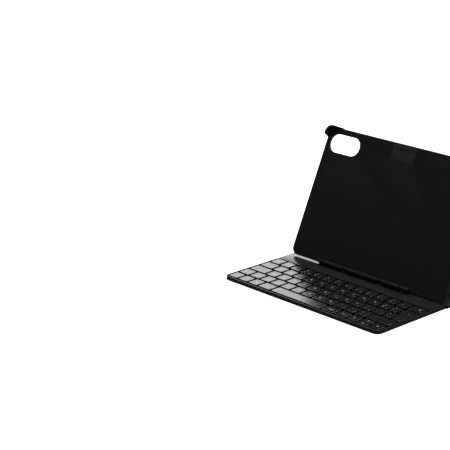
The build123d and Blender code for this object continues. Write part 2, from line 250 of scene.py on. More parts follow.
def toneRamp(nodes, links, source, look):
    # base colour drifts a little darker and lighter about its own tone
    ramp = nodes.new("ShaderNodeValToRGB")
    drift = look.get("drift", 0.15)
    low = [channel * (1 - drift) for channel in look["colour"]]
    high = [channel * (1 + drift) for channel in look["colour"]]
    ramp.color_ramp.elements[0].position = 0.3
    ramp.color_ramp.elements[0].color = (*low, 1)
    ramp.color_ramp.elements[1].position = 0.7
    ramp.color_ramp.elements[1].color = (*high, 1)
    links.new(source, ramp.inputs["Fac"])
    return ramp.outputs["Color"]


def wornColour(nodes, links, colour, look):
    # rubbed edges are paler than the face
    wear = groupNode(nodes, edgeWear, Reach=look.get("wearReach", 0.0004), Amount=look.get("wear", 0.6))
    mix = nodes.new("ShaderNodeMix")
    mix.data_type = "RGBA"
    links.new(wear.outputs["Mask"], mix.inputs[0])
    links.new(colour, mix.inputs[6])
    mix.inputs[7].default_value = (*[min(1.0, channel * 2.4 + 0.012) for channel in look["colour"]], 1)
    return mix.outputs[2]


def addBump(nodes, links, surface, height, strength, distance):
    bump = nodes.new("ShaderNodeBump")
    bump.inputs["Strength"].default_value = strength
    bump.inputs["Distance"].default_value = distance
    links.new(height, bump.inputs["Height"])
    links.new(bump.outputs["Normal"], surface.inputs["Normal"])


def skinMaterial(name, look):
    material, nodes, links, surface = startMaterial(name, look)
    grain = groupNode(nodes, skinGrain, Pebble_Scale=look["grain"], Pebble_Depth=look["pebble"],
                      Pore_Depth=look["pore"])
    # the grain's tone carries a random drift and the painted shade in the pebbles' valleys
    colour = toneRamp(nodes, links, grain.outputs["Tone"], look)
    links.new(wornColour(nodes, links, colour, look), surface.inputs["Base Color"])
    touch = groupNode(nodes, touchMarks, Smear_Scale=38.0, Base_Roughness=look["roughness"], Spread=0.12)
    links.new(touch.outputs["Roughness"], surface.inputs["Roughness"])
    addBump(nodes, links, surface, grain.outputs["Height"], look["bump"], 0.0003)
    return material


def mouldedMaterial(name, look):
    material, nodes, links, surface = startMaterial(name, look)
    mould = groupNode(nodes, mouldTexture, Speckle_Scale=look.get("speckle", 2600.0))
    colour = toneRamp(nodes, links, mould.outputs["Tone"], look)
    links.new(wornColour(nodes, links, colour, look), surface.inputs["Base Color"])
    touch = groupNode(nodes, touchMarks, Smear_Scale=60.0, Base_Roughness=look["roughness"],
                      Spread=look.get("spread", 0.07))
    links.new(touch.outputs["Roughness"], surface.inputs["Roughness"])
    addBump(nodes, links, surface, mould.outputs["Height"], look.get("bump", 0.12), 0.0001)
    return material


def metalMaterial(name, look):
    material, nodes, links, surface = startMaterial(name, look)
    coords = nodes.new("ShaderNodeTexCoord")
    stretch = nodes.new("ShaderNodeMapping")
    stretch.inputs["Scale"].default_value = look["brush"]
    links.new(coords.outputs["Object"], stretch.inputs["Vector"])
    lines = nodes.new("ShaderNodeTexNoise")
    lines.inputs["Scale"].default_value = 60.0
    lines.inputs["Detail"].default_value = 5.0
    links.new(stretch.outputs["Vector"], lines.inputs["Vector"])
    links.new(toneRamp(nodes, links, lines.outputs["Fac"], look), surface.inputs["Base Color"])
    addBump(nodes, links, surface, lines.outputs["Fac"], 0.08, 0.00005)
    return material


looks = {
    "coverSkin": {"colour": (0.0125, 0.0126, 0.0134), "roughness": 0.62, "grain": 1150.0, "pebble": 0.9,
                  "pore": 0.25, "bump": 0.55, "specular": 0.42, "wear": 0.35},
    "liningSkin": {"colour": (0.0066, 0.0066, 0.0068), "roughness": 0.78, "grain": 2100.0, "pebble": 0.35,
                   "pore": 0.2, "bump": 0.22, "specular": 0.15, "drift": 0.06, "wear": 0.25},
    "foldSkin": {"colour": (0.0105, 0.0105, 0.0112), "roughness": 0.7, "grain": 1500.0, "pebble": 0.6,
                 "pore": 0.3, "bump": 0.4, "specular": 0.3, "wear": 0.2},
}
coverSkin = skinMaterial("coverSkin", looks["coverSkin"])
liningSkin = skinMaterial("liningSkin", looks["liningSkin"])
foldSkin = skinMaterial("foldSkin", looks["foldSkin"])
rimSkin = mouldedMaterial("rimSkin", {"colour": (0.0042, 0.0042, 0.0045), "roughness": 0.5, "specular": 0.32,
                                      "bump": 0.08, "wear": 0.6})
deckPaint = mouldedMaterial("deckPaint", {"colour": (0.013, 0.0131, 0.0135), "roughness": 0.19, "specular": 0.31,
                                          "bump": 0.05, "spread": 0.05, "wear": 0.5})
keySatin = mouldedMaterial("keySatin", {"colour": (0.0078, 0.0079, 0.0083), "roughness": 0.22, "specular": 0.66,
                                        "bump": 0.06, "spread": 0.06, "wear": 0.35, "speckle": 3400.0})
# the keys' sides: a much darker copy of the key plastic, painted shade
shadedCapSkirt = mouldedMaterial("shadedCapSkirt", {"colour": (0.0016, 0.0016, 0.0017), "roughness": 0.7, "specular": 0.08,
                                        "bump": 0.05, "wear": 0.1})
trayPlastic = mouldedMaterial("trayPlastic", {"colour": (0.0028, 0.0028, 0.003), "roughness": 0.5, "specular": 0.2,
                                              "bump": 0.14, "wear": 0.2})
hingePlastic = mouldedMaterial("hingePlastic", {"colour": (0.0045, 0.0045, 0.0047), "roughness": 0.6,
                                                "specular": 0.2, "bump": 0.1, "wear": 0.15})
ledgePlastic = mouldedMaterial("ledgePlastic", {"colour": (0.0072, 0.0072, 0.0076), "roughness": 0.5,
                                                "specular": 0.3, "bump": 0.12})
bumperPlastic = mouldedMaterial("bumperPlastic", {"colour": (0.0078, 0.0078, 0.0082), "roughness": 0.55,
                                                  "specular": 0.3, "bump": 0.16})
trimPlastic = mouldedMaterial("trimPlastic", {"colour": (0.012, 0.012, 0.0125), "roughness": 0.3, "bump": 0.04})
inlayPlastic = mouldedMaterial("inlayPlastic", {"colour": (0.0028, 0.0028, 0.0029), "roughness": 0.7,
                                                "specular": 0.07, "bump": 0.04, "wear": 0.2})
filmBlack = mouldedMaterial("filmBlack", {"colour": (0.0025, 0.0025, 0.0026), "roughness": 0.6, "specular": 0.15})
domeRubber = mouldedMaterial("domeRubber", {"colour": (0.05, 0.05, 0.052), "roughness": 0.7, "specular": 0.3})
scissorPlastic = mouldedMaterial("scissorPlastic", {"colour": (0.03, 0.03, 0.031), "roughness": 0.5})
boardMask = mouldedMaterial("boardMask", {"colour": (0.006, 0.045, 0.022), "roughness": 0.3, "bump": 0.05})
legendInk = mouldedMaterial("legendInk", {"colour": (0.56, 0.56, 0.58), "roughness": 0.24, "specular": 0.5,
                                          "drift": 0.05, "wear": 0.0, "bump": 0.03})
magnetPlate = metalMaterial("magnetPlate", {"colour": (0.45, 0.45, 0.46), "roughness": 0.25, "metallic": 1.0,
                                            "brush": (1, 1, 1), "drift": 0.1})
pinSteel = metalMaterial("pinSteel", {"colour": (0.42, 0.42, 0.43), "roughness": 0.3, "metallic": 1.0,
                                      "brush": (1, 30, 30), "drift": 0.15})
sheetMetal = metalMaterial("sheetMetal", {"colour": (0.02, 0.02, 0.021), "roughness": 0.4, "metallic": 0.6,
                                          "brush": (1, 40, 40), "drift": 0.2})
contactGold = metalMaterial("contactGold", {"colour": (0.16, 0.14, 0.11), "roughness": 0.35, "metallic": 1.0,
                                            "brush": (1, 1, 1), "drift": 0.08})
finishBySlot = {
    "soft_skin": coverSkin, "fold_skin": foldSkin, "lining": liningSkin, "shell": trayPlastic, "deck": deckPaint,
    "keycap": keySatin, "black_metal": sheetMetal, "membrane": filmBlack, "dome_rubber": domeRubber,
    "scissor_plastic": scissorPlastic, "board_green": boardMask, "magnet": magnetPlate,
    "hinge_black": hingePlastic, "pin_steel": pinSteel, "trim": trimPlastic, "bumper": bumperPlastic,
    "ledge": ledgePlastic, "contact_gold": contactGold, "inlay": inlayPlastic,
}
slotByNode = {part["node"]: part["material_slot"] for part in frame["record"]["subparts"]}
for nodeName, nodeObject in frame["nodes"].items():
    finish = finishBySlot[slotByNode[nodeName]]
    nodeObject.data.materials.clear()
    nodeObject.data.materials.append(finish)
print("materials ready", len(bpy.data.materials))


# Mesh helpers

def meshObject(name, verts, faces, material, smooth=True):
    mesh = bpy.data.meshes.new(name)
    mesh.from_pydata([tuple(point) for point in verts], [], faces)
    mesh.materials.append(material)
    tidy = bmesh.new()
    tidy.from_mesh(mesh)
    bmesh.ops.recalc_face_normals(tidy, faces=tidy.faces)
    tidy.to_mesh(mesh)
    tidy.free()
    for face in mesh.polygons:
        face.use_smooth = smooth
    piece = bpy.data.objects.new(name, mesh)
    bpy.context.scene.collection.objects.link(piece)
    return piece


def cornerRing(corners, inset, segments):
    # a closed outline moved inwards, its corners kept round: corners are (x, y, radius), counter-clockwise
    count = len(corners)
    points = []
    for index in range(count):
        before = Vector(corners[index - 1][:2])
        here = Vector(corners[index][:2])
        after = Vector(corners[(index + 1) % count][:2])
        radius = corners[index][2]
        sideIn = (here - before).normalized()
        sideOut = (after - here).normalized()
        leftIn = Vector((-sideIn.y, sideIn.x))
        leftOut = Vector((-sideOut.y, sideOut.x))
        turn = sideIn.x * sideOut.y - sideIn.y * sideOut.x
        bend = math.copysign(1.0, turn)
        bisector = (leftIn + leftOut) / (1 + leftIn.dot(leftOut))
        centre = here + bisector * radius * bend
        arc = max(0.0001, radius - inset * bend)
        start = math.atan2(-leftIn.y * bend, -leftIn.x * bend)
        sweep = math.atan2(turn, sideIn.dot(sideOut))
        for step in range(segments + 1):
            angle = start + sweep * step / segments
            points.append(centre + arc * Vector((math.cos(angle), math.sin(angle))))
    return points


def rectCorners(x0, x1, y0, y1, radius):
    radii = radius if isinstance(radius, tuple) else (radius,) * 4
    return [(x0, y0, radii[0]), (x1, y0, radii[1]), (x1, y1, radii[2]), (x0, y1, radii[3])]


def bridge(faces, first, second, count):
    # quads between two rings of points
    for index in range(count):
        after = (index + 1) % count
        faces.append((first + index, first + after, second + after, second + index))


weld = {"seam": 0.002, "sliver": 0.001}  # millimetres, for the seams that a filled curve leaves


def softPlate(name, corners, holes, low, high, soft, material, place, segments=8):
    # a flat plate with rounded rims, drawn flat and then put in place
    curve = bpy.data.curves.new(name, "CURVE")
    curve.dimensions = "2D"
    curve.fill_mode = "BOTH"
    curve.extrude = (high - low) / 2 - soft
    curve.bevel_depth = soft
    curve.bevel_resolution = 3
    for outline, sign in [(corners, 1)] + [(hole, -1) for hole in holes]:
        ring = cornerRing(outline, soft * sign, segments)
        spline = curve.splines.new("POLY")
        spline.points.add(len(ring) - 1)
        for point, spot in zip(spline.points, ring):
            point.co = (spot.x, spot.y, 0, 1)
        spline.use_cyclic_u = True
    holder = bpy.data.objects.new(name, curve)
    bpy.context.scene.collection.objects.link(holder)
    bpy.context.view_layer.update()
    mesh = bpy.data.meshes.new_from_object(holder.evaluated_get(bpy.context.evaluated_depsgraph_get()))
    bpy.data.objects.remove(holder)
    mesh.name = name
    mesh.materials.clear()
    mesh.materials.append(material)
    tidy = bmesh.new()
    tidy.from_mesh(mesh)
    bmesh.ops.remove_doubles(tidy, verts=tidy.verts, dist=weld["seam"])
    bmesh.ops.dissolve_degenerate(tidy, edges=tidy.edges, dist=weld["sliver"])
    bmesh.ops.recalc_face_normals(tidy, faces=tidy.faces)
    tidy.to_mesh(mesh)
    tidy.free()
    for vertex in mesh.vertices:
        vertex.co = place(vertex.co.x, vertex.co.y, vertex.co.z + (low + high) / 2)
    for face in mesh.polygons:
        face.use_smooth = True
    mesh.set_sharp_from_angle(angle=math.radians(38))
    piece = bpy.data.objects.new(name, mesh)
    bpy.context.scene.collection.objects.link(piece)
    return piece


def sweepAlong(name, stations, profile, material, body):
    # a closed profile carried right round a ring of stations: each is (place, outward, across) in world space
    verts = []
    for place, outward, across in stations:
        verts += [place + outward * a * mm + across * b * mm for a, b in profile]
    size = len(profile)
    faces = []
    for index in range(len(stations)):
        following = (index + 1) % len(stations)
        bridge(faces, index * size, following * size, size)
    piece = meshObject(name, verts, faces, material)
    piece.data.set_sharp_from_angle(angle=math.radians(50))
    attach(piece, body)
    return piece


def outlineStations(corners, segments):
    # stations round a flat outline on the panel, facing away from its middle
    ring = cornerRing(corners, 0, segments)
    count = len(ring)
    stations = []
    for index, spot in enumerate(ring):
        before = ring[index - 1]
        after = ring[(index + 1) % count]
        tangent = (after - before).normalized()
        outward = Vector((tangent.y, -tangent.x))
        side = outward.x * Vector((1, 0, 0)) + outward.y * panelUp
        stations.append((onPanel(spot.x, spot.y, 0), side, panelOut))
    return stations


# Keyboard slab

deckLow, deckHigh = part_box("deck_plate")
frontY = deckLow.y / mm
deckTopZ = deckHigh.z / mm
slab = {"halfWidth": 131.0, "depth": 125.5, "corner": 8.0, "soft": 0.25}
well = {"halfWidth": 129.4, "front": 2.2, "rear": 98.3, "corner": 5.5}
rear = {"halfWidth": 132.3, "front": 125.8, "end": 181.0, "corner": 4.0, "low": 3.95, "high": 4.6, "soft": 0.28}


def onBase(x, y, z):
    return Vector((x, y + frontY, z)) * mm


deckStart = 92.8  # the smooth deck begins behind the keys, and a plain rim runs round them
side = slab["halfWidth"]
inner = well["halfWidth"]
deckOutline = [(-side, deckStart, 0.2), (-inner, deckStart, 0.1), (-inner, well["rear"], 5.3),
               (inner, well["rear"], 5.3), (inner, deckStart, 0.1), (side, deckStart, 0.2),
               (side, slab["depth"], 0.6), (-side, slab["depth"], 0.6)]
rimOutline = [(-side, 0, slab["corner"]), (side, 0, slab["corner"]), (side, deckStart, 0.2),
              (inner, deckStart, 0.1), (inner, well["front"], well["corner"]), (-inner, well["front"], well["corner"]),
              (-inner, deckStart, 0.1), (-side, deckStart, 0.2)]
deckTop = softPlate("deckTop", deckOutline, [], deckLow.z / mm, deckTopZ, slab["soft"], deckPaint, onBase)
keyRim = softPlate("keyRim", rimOutline, [], deckLow.z / mm, deckTopZ, slab["soft"], rimSkin, onBase)
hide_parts("deck_plate")
for piece in (deckTop, keyRim):
    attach(piece, "base")
rearOutline = rectCorners(-rear["halfWidth"], rear["halfWidth"], rear["front"], rear["end"],
                          (0.8, 0.8, rear["corner"], rear["corner"]))
rearTop = softPlate("rearTop", rearOutline, [], rear["low"], rear["high"], rear["soft"], coverSkin, onBase)
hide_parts("rear_cover")
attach(rearTop, "base")
print("slab done")


# Keys

keySizes = {"unit": 18.0, "rowPitch": 18.9, "fieldWidth": 257.2, "fieldFront": 3.0, "gap": 3.15, "top": 5.25,
            "bottom": 3.9, "corner": 2.1, "shoulder": 0.34, "shoulderWidth": 0.5, "dish": 0.1, "skirt": 0.9,
            "cornerSegments": 5, "dishRings": (0.82, 0.6, 0.36, 0.14)}
letterRows = {
    2: ["z", "x", "c", "v", "b", "n", "m", "comma", "period", "slash"],
    3: ["a", "s", "d", "f", "g", "h", "j", "k", "l", "semicolon"],
    4: ["q", "w", "e", "r", "t", "y", "u", "i", "o", "p"],
    5: ["1", "2", "3", "4", "5", "6", "7", "8", "9", "0"],
}
unit = keySizes["unit"]
fieldWidth = keySizes["fieldWidth"]


def keyRow(number):
    if number == 1:
        space = fieldWidth - 9.5 * unit
        names = ["control_left", "function", "meta", "alt_left", "space", "alt_right", "control_right",
                 "arrow_left", "arrow_pair", "arrow_right"]
        widths = [unit, unit, unit, 1.25 * unit, space, 1.25 * unit, unit, unit, unit, unit]
        return list(zip(names, widths))
    middle = [(name, unit) for name in letterRows[number]]
    if number == 2:
        return [("shift_left", 19.2), ("angle", 19.2)] + middle + [("shift_right", fieldWidth - 38.4 - 10 * unit)]
    if number == 3:
        return [("caps", 30.0)] + middle + [("quote", 17.0), ("hash", 14.4)]
    if number == 4:
        return [("tab", 23.4)] + middle + [("bracket_left", 17.0), ("bracket_right", 15.0)]
    return [("escape", unit)] + middle + [("minus", unit), ("equals", unit), ("backspace", fieldWidth - 13 * unit)]


def keyOutlines():
    outlines = {}
    half = keySizes["gap"] / 2
    corner = keySizes["corner"]
    for number in range(1, 6):
        x = -fieldWidth / 2
        front = keySizes["fieldFront"] + (number - 1) * keySizes["rowPitch"]
        rearEdge = front + keySizes["rowPitch"]
        for name, width in keyRow(number):
            if name == "arrow_pair":
                middle = (front + rearEdge) / 2
                thin = 0.27 * keySizes["gap"]
                outlines["arrow_down"] = rectCorners(x + half, x + width - half, front + thin, middle - thin, 1.2)
                outlines["arrow_up"] = rectCorners(x + half, x + width - half, middle + thin, rearEdge - thin, 1.2)
            else:
                outlines[name] = rectCorners(x + half, x + width - half, front + half, rearEdge - half, corner)
            x += width
    lower = outlines["hash"][1][0] + 2 * half
    upper = outlines["bracket_right"][1][0] + 2 * half
    right = fieldWidth / 2 - half
    front = outlines["hash"][0][1]
    step = outlines["bracket_right"][0][1]
    top = outlines["bracket_right"][2][1]
    outlines["enter"] = [(lower, front, corner), (right, front, corner), (right, top, corner), (upper, top, corner),
                         (upper, step, corner * 0.7), (lower, step, corner * 0.7)]
    return outlines


outlineByKey = keyOutlines()


def keyCentre(name):
    outline = outlineByKey[name]
    if name == "enter":
        return Vector(((outline[0][0] + outline[1][0]) / 2, (outline[1][1] + outline[2][1]) / 2))
    return Vector(((outline[0][0] + outline[2][0]) / 2, (outline[0][1] + outline[2][1]) / 2))


def addKeyCap(name, verts, faces):
    # skirt, rounded shoulder, and a very shallow dish that closes on the key's middle
    outline = outlineByKey[name]
    top = keySizes["top"]
    soft = keySizes["shoulder"]
    wide = keySizes["shoulderWidth"]
    skirt = keySizes["skirt"]
    bottom = keySizes["bottom"]
    segments = keySizes["cornerSegments"]
    rings = [(skirt, bottom + 0.5), (skirt, bottom), (0.0, bottom), (0.0, top - soft)]
    for step in range(1, 5):
        angle = math.pi / 2 * step / 4
        rings.append((wide * (1 - math.cos(angle)), top - soft * (1 - math.sin(angle))))
    size = len(outline) * (segments + 1)
    first = len(verts)
    for inset, z in rings:
        verts += [onBase(spot.x, spot.y, z) for spot in cornerRing(outline, inset, segments)]
    middle = keyCentre(name)
    edge = cornerRing(outline, wide, segments)
    for share in keySizes["dishRings"]:
        depth = keySizes["dish"] * (1 - share * share)
        for spot in edge:
            inner = middle + (spot - middle) * share
            verts.append(onBase(inner.x, inner.y, top - depth))
    total = len(rings) + len(keySizes["dishRings"])
    for ring in range(total - 1):
        bridge(faces, first + ring * size, first + (ring + 1) * size, size)
    verts.append(onBase(middle.x, middle.y, top - keySizes["dish"]))
    last = first + (total - 1) * size
    for index in range(size):
        faces.append((last + index, last + (index + 1) % size, len(verts) - 1))
    faces.append(tuple(first + index for index in range(size)))


# Legends: words and letters as (text, x, y, height) about the key's middle, in millimetres
letterHeight = 2.9
legends = {name: [(name.upper(), 0, 0, letterHeight)] for row in (2, 3, 4) for name in letterRows[row]
           if len(name) == 1}
shifted = {"1": "!", "2": "\"", "3": "#", "4": "$", "5": "%", "6": "&", "7": "/", "8": "(", "9": ")", "0": "="}
extra = {"2": "@", "3": "£", "7": "{", "8": "[", "9": "]", "0": "}"}
for digit, sign in shifted.items():
    legends[digit] = [(digit, -3.9, -2.7, 2.8), (sign, -3.9, 2.8, 2.6)]
    if digit in extra:
        legends[digit].append((extra[digit], 3.9, -2.8, 2.5))
pairs = {"minus": ("+", "?"), "equals": ("'", "`"), "comma": (",", ";"), "period": (".", ":"),
         "slash": ("-", "_"), "hash": ("'", "*"), "angle": ("<", ">"), "bracket_right": ("~", "^"),
         "semicolon": (";", ":"), "quote": ("'", "\""), "bracket_left": ("[", "{")}
for name, (low, high) in pairs.items():
    legends[name] = [(low, -1.8, -2.6, 2.9), (high, -1.8, 2.9, 2.7)]
legends.update({
    "escape": [("esc", 0, 0, 2.5)],
    "control_left": [("ctrl", 0, 0, 2.4)],
    "function": [("fn", 0, 0, 2.6)],
    "alt_left": [("alt", 0, 0, 2.5)],
    "alt_right": [("alt gr", 0, 0, 2.5)],
    "control_right": [("ctrl", 0, 0, 2.4)],
})

# Icons: each is a list of strokes, and a stroke is a row of points in millimetres
icons = {
    "arrow_left": [[(1.6, 0), (-1.4, 0)], [(-0.5, 1.1), (-1.7, 0), (-0.5, -1.1)]],
    "arrow_right": [[(-1.6, 0), (1.4, 0)], [(0.5, 1.1), (1.7, 0), (0.5, -1.1)]],
    "arrow_up": [[(0, -1.3), (0, 1.1)], [(-1.0, 0.3), (0, 1.4), (1.0, 0.3)]],
    "arrow_down": [[(0, 1.3), (0, -1.1)], [(-1.0, -0.3), (0, -1.4), (1.0, -0.3)]],
    "shift": [[(-1.9, 0.1), (0, 2.1), (1.9, 0.1), (0.9, 0.1), (0.9, -1.8), (-0.9, -1.8), (-0.9, 0.1), (-1.9, 0.1)]],
    "enter": [[(2.1, 1.6), (2.1, -0.2), (-1.6, -0.2)], [(-0.7, 1.0), (-1.9, -0.2), (-0.7, -1.4)]],
    "backspace": [[(-2.6, 0), (-1.0, 1.6), (2.4, 1.6), (2.4, -1.6), (-1.0, -1.6), (-2.6, 0)],
                  [(0.0, 0.7), (1.3, -0.7)], [(0.0, -0.7), (0.45, -0.2)], [(0.85, 0.2), (1.3, 0.7)]],
    "tab": [[(-2.2, 0), (1.5, 0)], [(0.7, 1.1), (1.8, 0), (0.7, -1.1)], [(2.4, 1.2), (2.4, -1.2)]],
    "caps": [[(-1.7, -0.2), (0, 1.7), (1.7, -0.2), (-1.7, -0.2)], [(-1.1, -1.4), (1.1, -1.4)]],
    "meta": [[(1.3 * math.cos(t * math.pi / 8) - 0.3, 1.3 * math.sin(t * math.pi / 8) + 0.3) for t in range(17)],
             [(0.75, -0.75), (1.7, -1.7)]],
}
iconByKey = {"arrow_left": ("arrow_left", 0, 0), "arrow_right": ("arrow_right", 0, 0), "arrow_up": ("arrow_up", 0, 0),
             "arrow_down": ("arrow_down", 0, 0), "shift_left": ("shift", -4.5, 0), "shift_right": ("shift", 14.5, 0),
             "enter": ("enter", 0.3, 10.0), "backspace": ("backspace", 5.0, 0.4), "tab": ("tab", -6.0, 0),
             "caps": ("caps", -9.5, 0), "meta": ("meta", 0, 0)}
ink = {"lift": 0.012, "thick": 0.02, "line": 0.38, "sizePerHeight": 1.36}
inkBase = keySizes["top"] - keySizes["dish"] + ink["lift"]  # just over the dished face at a key's middle


def addText(verts, faces, text, x, y, height, z):
    curve = bpy.data.curves.new("legend", "FONT")
    curve.body = text
    curve.size = height * ink["sizePerHeight"]
    curve.align_x = "CENTER"
    curve.align_y = "CENTER"
    curve.extrude = ink["thick"] / 2
    curve.resolution_u = 3
    holder = bpy.data.objects.new("legend", curve)
    bpy.context.scene.collection.objects.link(holder)
    mesh = bpy.data.meshes.new_from_object(holder.evaluated_get(bpy.context.evaluated_depsgraph_get()))
    bpy.data.objects.remove(holder)
    first = len(verts)
    verts += [onBase(x + vertex.co.x, y + vertex.co.y, z + ink["thick"] / 2 + vertex.co.z) for vertex in mesh.vertices]
    faces += [tuple(first + index for index in face.vertices) for face in mesh.polygons]
    bpy.data.meshes.remove(mesh)


def addStroke(verts, faces, points, x, y, z):
    # a flat line of even width with mitred corners
    spots = [Vector(point) for point in points]
    closed = len(spots) > 2 and (spots[0] - spots[-1]).length < 1e-6
    if closed:
        spots = spots[:-1]
    count = len(spots)
    first = len(verts)
    for index, spot in enumerate(spots):
        after = spots[(index + 1) % count] if closed or index < count - 1 else None
        before = spots[index - 1] if closed or index > 0 else None
        leave = (after - spot).normalized() if after else (spot - before).normalized()
        enter = (spot - before).normalized() if before else leave
        normalIn = Vector((-enter.y, enter.x))
        normalOut = Vector((-leave.y, leave.x))
        mitre = (normalIn + normalOut) / (1 + normalIn.dot(normalOut)) * ink["line"] / 2
        for side in (mitre, -mitre):
            for lift in (0, ink["thick"]):
                verts.append(onBase(x + spot.x + side.x, y + spot.y + side.y, z + lift))
    for index in range(count if closed else count - 1):
        here = first + 4 * index
        there = first + 4 * ((index + 1) % count)
        for a, b in ((0, 1), (1, 3), (3, 2), (2, 0)):
            faces.append((here + a, here + b, there + b, there + a))
    if not closed:
        faces.append((first, first + 1, first + 3, first + 2))
        end = first + 4 * (count - 1)
        faces.append((end, end + 1, end + 3, end + 2))


bodyByKey = {}
for bodyName, nodeNames in frame["record"]["behaviour"]["bodies"].items():
    if not bodyName.startswith("key"):
        continue
    label = bodyName.split("_", 1)[1]
    keyNames = [label] if label in outlineByKey else []
    if not keyNames:
        rest = label
        while rest:
            match = max((name for name in outlineByKey if rest == name or rest.startswith(name + "_")), key=len)
            keyNames.append(match)
            rest = rest[len(match) + 1:]
    capVerts, capFaces, inkVerts, inkFaces = [], [], [], []
    for keyName in keyNames:
        bodyByKey[keyName] = bodyName
        addKeyCap(keyName, capVerts, capFaces)
        middle = keyCentre(keyName)
        for text, x, y, height in legends.get(keyName, []):
            addText(inkVerts, inkFaces, text, middle.x + x, middle.y + y, height, inkBase)
        if keyName in iconByKey:
            iconName, x, y = iconByKey[keyName]
            for points in icons[iconName]:
                addStroke(inkVerts, inkFaces, points, middle.x + x, middle.y + y, inkBase)
    cap = meshObject("cap_" + bodyName, capVerts, capFaces, keySatin)
    cap.data.set_sharp_from_angle(angle=math.radians(60))
    cap.data.materials.append(shadedCapSkirt)
    for face in cap.data.polygons:
        if face.center.z < (keySizes["top"] - keySizes["shoulder"]) * mm:
            face.material_index = 1  # the skirt is rougher than the top, and its much darker colour is painted shade on the key's sides
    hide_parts(*nodeNames)
    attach(cap, bodyName)
    if inkVerts:
        mark = meshObject("legend_" + bodyName, inkVerts, inkFaces, legendInk, smooth=False)
        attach(mark, bodyName)
print("keys done", len(outlineByKey))


# Domes and scissor frames: split into one group under each moving key

keyOrder = [name for name in outlineByKey if name != "enter"] + ["enter"]


def keyAbove(spot):
    x = spot.x / mm
    y = spot.y / mm - frontY
    for name in keyOrder:
        xs = [corner[0] for corner in outlineByKey[name]]
        ys = [corner[1] for corner in outlineByKey[name]]
        if min(xs) <= x <= max(xs) and min(ys) <= y <= max(ys):
            return name
    return None


def splitUnderKeys(nodeName, label, material):
    source = frame["nodes"][nodeName].data
    facesByBody = {}
    for face in source.polygons:
        name = keyAbove(face.center)
        facesByBody.setdefault(bodyByKey[name], []).append(face)
    for bodyName, group in facesByBody.items():
        verts, faces = [], []
        for face in group:
            faces.append(tuple(range(len(verts), len(verts) + len(face.vertices))))
            verts += [source.vertices[index].co.copy() for index in face.vertices]
        piece = meshObject(label + "_" + bodyName, verts, faces, material, smooth=False)
        tidy = bmesh.new()
        tidy.from_mesh(piece.data)
        bmesh.ops.remove_doubles(tidy, verts=tidy.verts, dist=weld["sliver"] * mm)
        bmesh.ops.recalc_face_normals(tidy, faces=tidy.faces)
        tidy.to_mesh(piece.data)
        tidy.free()
        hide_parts(nodeName)
        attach(piece, "base")
        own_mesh(piece)


splitUnderKeys("rubber_domes", "dome", domeRubber)
splitUnderKeys("scissor_frames", "scissor", scissorPlastic)
print("switches done")


# Panel

panel = {"halfWidth": 131.0, "low": 1.8, "high": 178.7, "corner": 10.0, "lining": 0.4, "liningInset": 1.05,
         "notchSide": 77.0, "notchTop": 7.0, "thin": 1.3, "thick": 3.0, "skin": 0.5, "step": 63.2, "rim": 1.0}
camera = {"x": -98.2, "up": 158.35, "width": 51.7, "height": 24.8, "corner": 12.1, "ring": 1.2, "clear": 0.35}
penWindow = {"halfWidth": 19.0, "height": 22.5}


def cameraOutline(grow):
    halfWidth = camera["width"] / 2 + grow
    halfHeight = camera["height"] / 2 + grow
    return rectCorners(camera["x"] - halfWidth, camera["x"] + halfWidth, camera["up"] - halfHeight,
                       camera["up"] + halfHeight, camera["corner"] + grow)


def liningOutline():
    inset = panel["liningInset"]
    side = panel["halfWidth"] - inset
    corner = panel["corner"] - inset
    top = panel["high"] - inset
    pen = penWindow["halfWidth"]
    foot = panel["high"] - penWindow["height"]
    low = panel["low"] + inset
    notch = panel["notchSide"]
    rise = panel["notchTop"]
    return [(-side, low, corner), (-notch, low, 0.3), (-notch, rise, 0.5), (notch, rise, 0.5), (notch, low, 0.3),
            (side, low, corner), (side, top, corner),
            (pen, top, 0.3), (pen, foot, 1.0), (-pen, foot, 1.0), (-pen, top, 0.3), (-side, top, corner)]


lining = softPlate("panelLining", liningOutline(), [cameraOutline(camera["ring"])], -panel["lining"] - 0.05, 0,
                   0.16, liningSkin, onPanel, segments=12)
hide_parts("panel_lining")
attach(lining, "panel")

lowerOutline = rectCorners(-panel["halfWidth"], panel["halfWidth"], panel["low"], panel["step"] + 1.0,
                           (panel["corner"], panel["corner"], 0.5, 0.5))
upperOutline = rectCorners(-panel["halfWidth"], panel["halfWidth"], panel["step"], panel["high"],
                           (0.8, 0.8, panel["corner"], panel["corner"]))
lowerBoard = softPlate("panelLowerBoard", lowerOutline, [], -panel["thin"], -0.12, 0.5, coverSkin, onPanel)
upperBoard = softPlate("panelUpperBoard", upperOutline, [cameraOutline(camera["ring"])], -panel["thick"] + 0.12,
                       -0.1, panel["rim"], coverSkin, onPanel, segments=12)
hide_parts("panel_board")
for board in (lowerBoard, upperBoard):
    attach(board, "panel")

ringProfile = [(1.2, -2.95), (0.12, -3.0), (0.0, -2.85), (0.0, -0.25), (0.05, -0.12), (0.2, -0.03), (1.0, -0.03),
               (1.15, -0.08), (1.2, -0.2)]
cameraRing = sweepAlong("cameraRing", outlineStations(cameraOutline(0), 14), ringProfile, trimPlastic, "panel")
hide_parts("camera_trim")

bumper = {"sideLength": 14.4, "sideLean": 0.31, "topLength": 19.8, "topLean": 1.0, "wall": 1.0, "reach": 8.0,
          "hook": 1.0, "gap": 0.05, "lipDepth": 1.0, "ease": 0.36, "innerEase": 0.2, "sideRun": 8, "topRun": 16}


